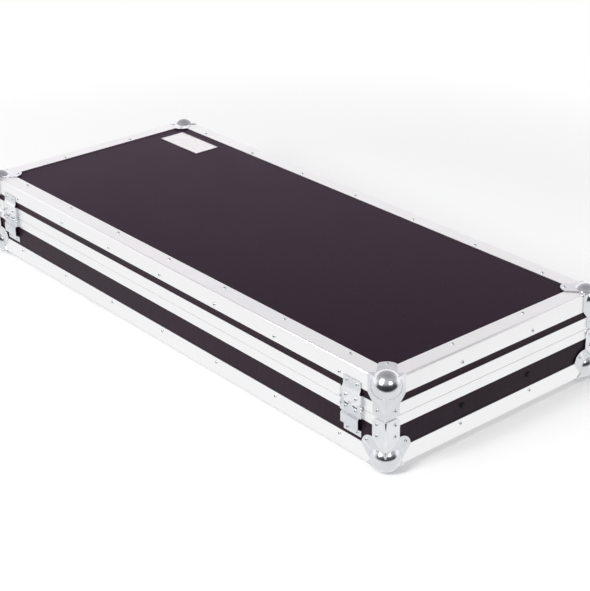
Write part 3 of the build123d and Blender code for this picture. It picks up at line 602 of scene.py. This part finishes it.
def rubber(tree):
    """Moulded rubber with a fine grain and rubbed patches."""
    fine = noise(tree, object_space(tree), scale=1400.0, detail=3.0)
    rubbed = cloudy(tree, scale=55.0, low=0.4, high=0.8)
    colour = blend_colour(tree, rubbed, (0.014, 0.014, 0.015), (0.028, 0.028, 0.029))
    return {"Base Color": colour, "Roughness": 0.7, "Normal": bumped(tree, fine, RUBBER_DEPTH)}


def white_enamel(tree):
    """White enamel with a little dust on it."""
    dust = cloudy(tree, scale=120.0, low=0.4, high=0.75)
    colour = blend_colour(tree, dust, (0.80, 0.76, 0.79), (0.72, 0.68, 0.71))
    return {"Base Color": colour, "Roughness": spread(tree, dust, 0.3, 0.42)}


keep_finishes(dark_foam=foam, grip_rubber=rubber, plate_face=white_enamel)

# %% [markdown]
# Dressing the rigid pieces
#
# The CAD shapes are right as they are, so each keeps its mesh and only gets a finish. Real sheet
# metal and extrusions have no knife edges: a narrow bevel catches a thin highlight along every
# edge. The bevel is a modifier, which leaves the CAD mesh untouched. The imported mesh is split
# along its creases, so a weld comes first, and the bevel only works where faces meet at an angle.

# %% Finishes by node
FOAM_NODES = ("tray_foam_pad", "lid_foam_pad", "rail_foam_sleeves", "neck_foam_liners")
RIVET_NODES = ("tray_rivets", "lid_rivets")
REPLACED_NODES = (*FOAM_NODES, *RIVET_NODES, "blank_badge")
FINISH_OF_NODE = {
    # The lid's panel takes the darker copy of the film, whose darker colour is painted shade.
    "lid_top_panel": "film_lid",
    "handle_grip": "grip_rubber",
    "guitar_rails": "black_powder",
    "rail_bolts": "black_oxide",
    "neck_comb": "birch_board",
    "tray_corner_braces": "zinc_brace",
}
PLAIN_ROUND, BEVEL_STEPS, BEVEL_ANGLE = 0.00025, 2, math.radians(35)
EDGE_ROUND = {"film_plywood": 0.0004, "film_lid": 0.0004, "aluminium_long": 0.0003,
              "aluminium_short": 0.0003, "birch_board": 0.0015}
WELD_REACH = 0.00001


def finish_of(node):
    """The name of the finish that a CAD node takes: what the latches have, if nothing else fits."""
    if node in FINISH_OF_NODE:
        return FINISH_OF_NODE[node]
    if node.endswith("_panel"):
        return "film_plywood"
    if node.endswith("_closures"):
        return "aluminium_short"
    if node.endswith(("_edging", "_closure")):
        return "aluminium_short" if "_end_" in node else "aluminium_long"
    if "ball_corner" in node:
        return "zinc_corner"
    return "zinc_hinge" if node.startswith("hinge_") else "zinc_latch"


for name, item in nodes.items():
    if name in REPLACED_NODES:
        continue
    choice = finish_of(name)
    item.data.materials.clear()
    item.data.materials.append(materials[choice])
    weld = item.modifiers.new("weld", "WELD")
    weld.merge_threshold = WELD_REACH
    bevel = item.modifiers.new("edge", "BEVEL")
    bevel.width = EDGE_ROUND.get(choice, PLAIN_ROUND)
    bevel.segments = BEVEL_STEPS
    bevel.limit_method = "ANGLE"
    bevel.angle_limit = BEVEL_ANGLE
    bevel.harden_normals = True
print("dressed nodes:", sum(1 for item in nodes.values() if item.modifiers))

# %% [markdown]
# Building with meshes
#
# The pieces that this script makes itself are meshes built point by point. The places and sizes
# are read from the CAD solids that they stand for, so nothing is measured twice. A CAD node may
# hold many separate lumps, such as all the rivets of the lid, so one helper takes them apart.

# %% Mesh helpers
body_of_node = {
    node: body for body, group in frame["record"]["behaviour"]["bodies"].items() for node in group
}


def islands(mesh):
    """The separate lumps of a mesh, each as a list of its points."""
    work = bmesh.new()
    work.from_mesh(mesh)
    bmesh.ops.remove_doubles(work, verts=work.verts, dist=WELD_REACH)
    seen, lumps = set(), []
    for start in work.verts:
        if start in seen:
            continue
        seen.add(start)
        lump, todo = [], [start]
        while todo:
            point = todo.pop()
            lump.append(point.co.copy())
            for line in point.link_edges:
                other = line.other_vert(point)
                if other not in seen:
                    seen.add(other)
                    todo.append(other)
        lumps.append(lump)
    work.free()
    return lumps


def lump_box(lump):
    """The low and high corners of a lump of points."""
    return tuple(Vector([pick(p[i] for p in lump) for i in range(3)]) for pick in (min, max))


def new_piece(name, work, finishes, body, *replaced):
    """A piece from a bmesh, with its materials, on its body, and in place of CAD nodes."""
    mesh = bpy.data.meshes.new(name)
    bmesh.ops.recalc_face_normals(work, faces=work.faces)
    work.to_mesh(mesh)
    work.free()
    for choice in finishes:
        mesh.materials.append(materials[choice])
    item = bpy.data.objects.new(name, mesh)
    scene.collection.objects.link(item)
    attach(item, body)
    if replaced:
        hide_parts(*replaced)
    return item


print("nodes with a body:", len(body_of_node))

# %% [markdown]
# Rivets
#
# Every fitting and every leg of the edging is held by blind rivets. The CAD has a plain cone at
# each place, which says where a rivet is and which way it faces. A real one has a domed flange
# with a hole in the middle, where the mandrel snapped off, and that dark hole is what shows from
# a step away. The wall of the hole and the end of the mandrel are coloured near black, which is
# painted shade for the dark of the hole. The heads could be instanced objects, but one mesh for
# each body is lighter to keep and moves as one piece. Each head is turned a little further than
# the last, so that the facets of neighbours don't line up.

# %% A rivet head
FLANGE = [(3.40, 0.00), (3.38, 0.22), (3.10, 0.60), (2.60, 0.88), (2.00, 1.04), (1.45, 1.10)]
HOLE = [(1.45, 1.10), (1.30, 1.02), (1.22, 0.40)]
MANDREL = [(1.22, 0.40), (0.95, 0.36), (0.50, 0.52), (0.0, 0.55)]
RIVET_PROFILES = ((FLANGE, 0), (HOLE, 1), (MANDREL, 1))
RIVET_FINISHES = ("rivet_steel", "mandrel_steel")
RIVET_STEPS, RIVET_TURN = 20, 2.4
RIVET_SEAM, DISH_RIVET_SEAM = 0.000005, 0.000003


def revolve(work, profile, steps, place, slot_index):
    """Adds a turned skin: a profile of (radius, height) in mm, about the Z axis of a place."""
    rings = []
    for radius, high in profile:
        count = 1 if radius == 0 else steps
        rings.append([
            work.verts.new(place @ (Vector((math.cos(a) * radius, math.sin(a) * radius, high)) * MM))
            for a in (math.tau * n / steps for n in range(count))
        ])
    for inner, outer in zip(rings, rings[1:]):
        for n in range(steps):
            corners = [inner[n % len(inner)], inner[(n + 1) % len(inner)],
                       outer[(n + 1) % len(outer)], outer[n % len(outer)]]
            face = work.faces.new(list(dict.fromkeys(corners)))
            face.material_index, face.smooth = slot_index, True


def rivet_head(work, place):
    """Adds a domed flange, and a hole and the end of its mandrel in near black: painted shade of the
    hole.
    """
    for profile, slot_index in RIVET_PROFILES:
        revolve(work, profile, RIVET_STEPS, place, slot_index)


def rivet_piece(name, heads, seam, body, *replaced):
    """The piece that holds all the heads of a body, with the seams of their profiles closed."""
    bmesh.ops.remove_doubles(heads, verts=heads.verts, dist=seam)
    piece = new_piece(name, heads, RIVET_FINISHES, body, *replaced)
    return piece


# %% Rivets of the edging and fittings
FACE_BAND = 0.0002


def seat_of(lump):
    """Where a cone's foot is, and which way it points: along its thin way, away from its wide end."""
    low, high = lump_box(lump)
    size, middle = high - low, (low + high) / 2
    axis = min(range(3), key=lambda i: size[i])
    across = [i for i in range(3) if i != axis]

    def reach(level):
        return max(math.hypot(*(p[i] - middle[i] for i in across))
                   for p in lump if abs(p[axis] - level) < FACE_BAND)

    up = reach(low[axis]) > reach(high[axis])
    foot = middle.copy()
    foot[axis] = low[axis] if up else high[axis]
    way = Vector((0, 0, 0))
    way[axis] = 1 if up else -1
    return foot, way


for name in RIVET_NODES:
    seats = [seat_of(lump) for lump in islands(nodes[name].data)]
    heads = bmesh.new()
    for number, (foot, way) in enumerate(seats):
        turn = Quaternion(way, number * RIVET_TURN) @ way.to_track_quat("Z", "Y")
        rivet_head(heads, Matrix.Translation(foot) @ turn.to_matrix().to_4x4())
    new_name = name.replace("_rivets", "_rivet_heads")
    piece = rivet_piece(new_name, heads, RIVET_SEAM, body_of_node[name], name)
    print(piece.name, len(seats), "heads")

# %% [markdown]
# Rivets of the latch and handle dishes
#
# The dishes are let into the plywood and riveted through their flanges, with smaller rivets than
# the edging has. These are too small for the CAD, so they are made here, near the flange corners:
# on the two latch dishes and the handle dish of the tray, and on the keepers of the lid.

# %% Dish rivets
DISH_RIVET_SIZE, DISH_RIVET_IN = 0.68, 0.0046
LOW_END, HIGH_END = 0, 1
OUT_OF_FLANGE = Matrix.Rotation(-math.pi / 2, 4, "X") @ Matrix.Scale(DISH_RIVET_SIZE, 4)


def flange_corners(low, high, rows):
    """Points near the corners of a flange that faces +Y, on its low end, its high end or both."""
    for x in (low.x + DISH_RIVET_IN, high.x - DISH_RIVET_IN):
        for row in rows:
            z = high.z - DISH_RIVET_IN if row == HIGH_END else low.z + DISH_RIVET_IN
            yield Vector((x, high.y, z))


tray_dishes = [(*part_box(f"latch_dish_{side}"), (LOW_END,)) for side in ("left", "right")]
tray_dishes.append((*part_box("handle_dish"), (LOW_END, HIGH_END)))
lid_dishes = [(*lump_box(lump), (HIGH_END,)) for lump in islands(nodes["latch_keeper_dishes"].data)]
for body, dishes in (("tray", tray_dishes), ("lid", lid_dishes)):
    points = [point for low, high, rows in dishes
              for point in flange_corners(Vector(low), Vector(high), rows)]
    heads = bmesh.new()
    for point in points:
        rivet_head(heads, Matrix.Translation(point) @ OUT_OF_FLANGE)
    piece = rivet_piece(f"{body}_dish_rivet_heads", heads, DISH_RIVET_SEAM, body)
    print(piece.name, len(points), "heads")

# %% [markdown]
# The foam of the inside
#
# Both halves are lined with slabs of closed cell foam, the two rails wear foam tubes like pipe
# lagging, and each neck rests in a padded notch. Foam is cut from sheets and tubes: its faces are
# flat but never quite true, and its cut edges are crushed round. Cloth simulation would only puff
# it up, so the pieces are made from fine grids whose edges roll over and whose faces rise and fall
# by a fraction of a millimetre. Each stays inside the room of its CAD solid.

# %% Foam helpers
WAVE_X, WAVE_Y, WAVE_SLANT = 23, 31, 47
ROLL_ANGLES = (0, 22.5, 45, 67.5)


def wavy(x, y, seed):
    """A smooth uneven height between 0 and 1 that always comes out the same."""
    waves = (math.sin(x * WAVE_X + seed) + math.sin(y * WAVE_Y + 2 * seed)
             + math.sin((x + y) * WAVE_SLANT + 3 * seed))
    return 0.5 + waves / 6


def stations(low, high, roll, pitch):
    """Places from low to high: close together where the edge rolls over, evenly spaced between."""
    bend = [roll * (1 - math.cos(math.radians(angle))) for angle in ROLL_ANGLES]
    flat = high - low - 2 * roll
    count = max(2, round(flat / pitch))
    middle = [low + roll + flat * n / count for n in range(count + 1)]
    return [low + b for b in bend] + middle + [high - b for b in reversed(bend)]


def rolled(distance, roll):
    """How far the face drops at a distance from the edge that rolls over."""
    if distance >= roll:
        return 0.0
    return roll - math.sqrt(max(0.0, roll ** 2 - (roll - distance) ** 2))


def bridge(work, first, second, smooth=True):
    """Adds the faces between two closed rings that have equally many points."""
    for n in range(len(first)):
        m = (n + 1) % len(first)
        work.faces.new([first[n], first[m], second[m], second[n]]).smooth = smooth


def foam_piece(name, work, node):
    """A foam piece from a bmesh, in place of a CAD node and on that node's body."""
    piece = new_piece(name, work, ("dark_foam",), body_of_node[node], node)
    return piece


# %% Foam slabs
SLAB_ROLL, SLAB_PITCH, SLAB_UNEVEN = 0.0035, 0.012, 0.0006


def slab_rim(sheet):
    """The points round the edge of a grid of rows, in order."""
    right, left = [row[-1] for row in sheet[1:]], [row[0] for row in sheet[-2:0:-1]]
    return sheet[0] + right + sheet[-1][-2::-1] + left


def foam_slab(name, low, high, soft_side, seed):
    """A foam slab in a box, with rolled edges and an uneven face on its soft side (1 up, -1 down)."""
    xs = stations(low.x, high.x, SLAB_ROLL, SLAB_PITCH)
    ys = stations(low.y, high.y, SLAB_ROLL, SLAB_PITCH)
    work = bmesh.new()
    rims = []
    for side in (1, -1):
        face = high.z if side == 1 else low.z
        give = SLAB_UNEVEN if side == soft_side else 0.0
        sheet = []
        for y in ys:
            row = []
            for x in xs:
                inside = min(x - low.x, high.x - x, y - low.y, high.y - y)
                sunk = rolled(inside, SLAB_ROLL) + give * wavy(x, y, seed)
                row.append(work.verts.new((x, y, face - side * sunk)))
            sheet.append(row)
        for below, above in zip(sheet, sheet[1:]):
            for i in range(len(xs) - 1):
                corners = [below[i], below[i + 1], above[i + 1], above[i]]
                work.faces.new(corners if side == 1 else corners[::-1]).smooth = True
        rims.append(slab_rim(sheet))
    bridge(work, rims[1], rims[0])
    return foam_piece(name + "_slab", work, name)


for seed, (name, soft_side) in enumerate((("tray_foam_pad", 1), ("lid_foam_pad", -1))):
    slab_low, slab_high = (Vector(corner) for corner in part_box(name))
    slab = foam_slab(name, slab_low, slab_high, soft_side, seed)
    size = [round(v / MM, 1) for v in slab_high - slab_low]
    print(slab.name, "mm:", size, "faces:", len(slab.data.polygons))

# %% [markdown]
# Foam tubes on the rails
#
# A tube of pipe lagging is slit along one side, so that it can be slipped over the rail. The slit
# is turned down here, where it shows least, and it is one sunk line of points. The bore is read
# from the CAD sleeve, so that the tube fits its rail, and the ends are crushed round.

# %% Foam tubes
TUBE_ROLL, TUBE_PITCH, TUBE_UNEVEN, TUBE_STEPS, TUBE_WAVE = 0.0025, 0.03, 0.0004, 64, 9
SLIT_AT, SLIT_REACH, SLIT_DEEP = -math.pi / 2, math.radians(5), 0.0022


def slit_depth(angle):
    """How far the slit sinks the skin at an angle round the tube."""
    off = abs(math.remainder(angle - SLIT_AT, math.tau)) / SLIT_REACH
    return SLIT_DEEP * max(0.0, 1 - off)


def foam_tube(name, lump, seed):
    """A foam tube along X round a rail: a bore, a slit along its lower side, and crushed ends."""
    low, high = lump_box(lump)
    centre, outer = (low + high) / 2, (high.z - low.z) / 2
    bore = min(math.hypot(p.y - centre.y, p.z - centre.z) for p in lump)
    angles = [math.tau * n / TUBE_STEPS for n in range(TUBE_STEPS)]
    work = bmesh.new()

    def ring(x, radii):
        return [work.verts.new((x, centre.y + math.cos(a) * radius, centre.z + math.sin(a) * radius))
                for a, radius in zip(angles, radii)]

    skin = []
    for x in stations(low.x, high.x, TUBE_ROLL, TUBE_PITCH):
        crushed = outer - rolled(min(x - low.x, high.x - x), TUBE_ROLL)
        skin.append(ring(x, [
            crushed - TUBE_UNEVEN * wavy(x, a / TUBE_WAVE, seed) - slit_depth(a) for a in angles
        ]))
    first_bore, last_bore = (ring(x, [bore] * TUBE_STEPS) for x in (low.x, high.x))
    rings = [first_bore, *skin, last_bore]
    for first, second in zip(rings, rings[1:] + rings[:1]):
        bridge(work, first, second)
    return foam_piece(name, work, "rail_foam_sleeves"), outer, bore


tubes = sorted(islands(nodes["rail_foam_sleeves"].data), key=lambda lump: lump[0].y)
for seed, (side, lump) in enumerate(zip(("hinge_side", "latch_side"), tubes), start=4):
    tube, outer, bore = foam_tube(f"rail_foam_tube_{side}", lump, seed)
    print(tube.name, "radius and bore, mm:", round(outer / MM, 1), round(bore / MM, 1))

# %% [markdown]
# Foam in the neck notches
#
# Each notch of the comb is lined with a strip of the same foam, bent round it: two short legs and
# a half round between them. It is one cross section carried along that path. The section has
# rounded edges on the side where the neck lies, and is flat against the board.

# %% Foam strips
ARCH_ROLL, ARCH_EDGE, ARCH_UNEVEN, ARCH_TURNS, ARCH_WAVE = 0.0022, 0.3, 0.0003, 36, 12
FOOT_BAND = 0.0005


def foam_arch(name, lump, seed):
    """A foam strip bent round a notch: two short legs and a half round, with rolled edges."""
    low, high = lump_box(lump)
    middle_x, outer, depth = (low.x + high.x) / 2, (high.x - low.x) / 2, high.y - low.y
    inner = min(abs(p.x - middle_x) for p in lump if p.z < low.z + FOOT_BAND)
    centre_z, thick, corner = high.z - outer, outer - inner, ARCH_ROLL * ARCH_EDGE
    section = [(low.y + along_y, outer - inward) for along_y, inward in (
        (0, 0), (corner, thick - corner), (ARCH_ROLL, thick), (depth / 2, thick),
        (depth - ARCH_ROLL, thick), (depth - corner, thick - corner), (depth, 0),
    )]
    knee = (low.z + centre_z) / 2
    bend = [(math.pi * n / ARCH_TURNS, centre_z) for n in range(ARCH_TURNS + 1)]
    work = bmesh.new()
    rows = []
    for angle, level in [(0.0, low.z), (0.0, knee), *bend, (math.pi, knee), (math.pi, low.z)]:
        row = []
        for y, radius in section:
            soft = radius < outer - thick / 2
            reach = radius + (ARCH_UNEVEN * wavy(angle / ARCH_WAVE, y, seed) if soft else 0.0)
            corner_at = (middle_x + math.cos(angle) * reach, y, level + math.sin(angle) * reach)
            row.append(work.verts.new(corner_at))
        rows.append(row)
    for first, second in zip(rows, rows[1:]):
        bridge(work, first, second)
    work.faces.new(rows[0])
    work.faces.new(rows[-1][::-1])
    return foam_piece(name, work, "neck_foam_liners"), outer, inner


arches = sorted(islands(nodes["neck_foam_liners"].data), key=lambda lump: min(p.x for p in lump))
for number, lump in enumerate(arches, start=1):
    arch, outer, inner = foam_arch(f"neck_foam_strip_{number}", lump, number)
    print(arch.name, "radii, mm:", round(outer / MM, 1), round(inner / MM, 1))

# %% [markdown]
# The blank plate
#
# The lid carries a thin plate near one corner: white, with a fine metal edge and a fixing in each
# corner. It is left blank here. It could be one flat card, but the real one is a pressed sheet
# with a raised lip, and the lip and the four small heads are what catch the light.

# %% Plate on the lid
LIP = ((0.0, 0.0), (0.0, 0.8), (0.3, 1.0), (1.3, 1.0), (1.7, 0.75))
PLATE_CORNER, LEAST_CORNER, CORNER_STEPS = 0.0015, 0.0002, 6
FIXING = [(1.6, 0.0), (1.55, 0.15), (1.15, 0.26), (0.6, 0.30), (0.0, 0.31)]
FIXING_IN, FIXING_STEPS = 0.0055, 16
FACE_SLOT, FIXING_SLOT = 1, 2


def plate_outline(low, high, inset):
    """Points round a rectangle with rounded corners, pulled in by an inset."""
    corners = ((high.x, high.y, 0), (low.x, high.y, 90), (low.x, low.y, 180), (high.x, low.y, 270))
    round_by = max(LEAST_CORNER, PLATE_CORNER - inset)
    points = []
    for x, y, start in corners:
        turn_x = x - math.copysign(inset + round_by, x - (low.x + high.x) / 2)
        turn_y = y - math.copysign(inset + round_by, y - (low.y + high.y) / 2)
        for n in range(CORNER_STEPS + 1):
            angle = math.radians(start + 90 * n / CORNER_STEPS)
            points.append((turn_x + math.cos(angle) * round_by, turn_y + math.sin(angle) * round_by))
    return points


badge_low, badge_high = (Vector(corner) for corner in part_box("blank_badge"))
rise = badge_high.z - badge_low.z
work = bmesh.new()
loops = []
for inset, share in LIP:
    outline = plate_outline(badge_low, badge_high, inset * MM)
    loops.append([work.verts.new((x, y, badge_low.z + share * rise)) for x, y in outline])
for outer_loop, inner_loop in zip(loops, loops[1:]):
    bridge(work, outer_loop, inner_loop, smooth=False)
work.faces.new(loops[-1]).material_index = FACE_SLOT
face_level = badge_low.z + LIP[-1][1] * rise
for x in (badge_low.x + FIXING_IN, badge_high.x - FIXING_IN):
    for y in (badge_low.y + FIXING_IN, badge_high.y - FIXING_IN):
        place = Matrix.Translation((x, y, face_level))
        revolve(work, FIXING, FIXING_STEPS, place, FIXING_SLOT)
plate_finishes = ("plate_rim", "plate_face", "rivet_steel")
plate = new_piece("blank_plate", work, plate_finishes, body_of_node["blank_badge"], "blank_badge")
print("plate, mm:", [round(v / MM, 1) for v in badge_high - badge_low])
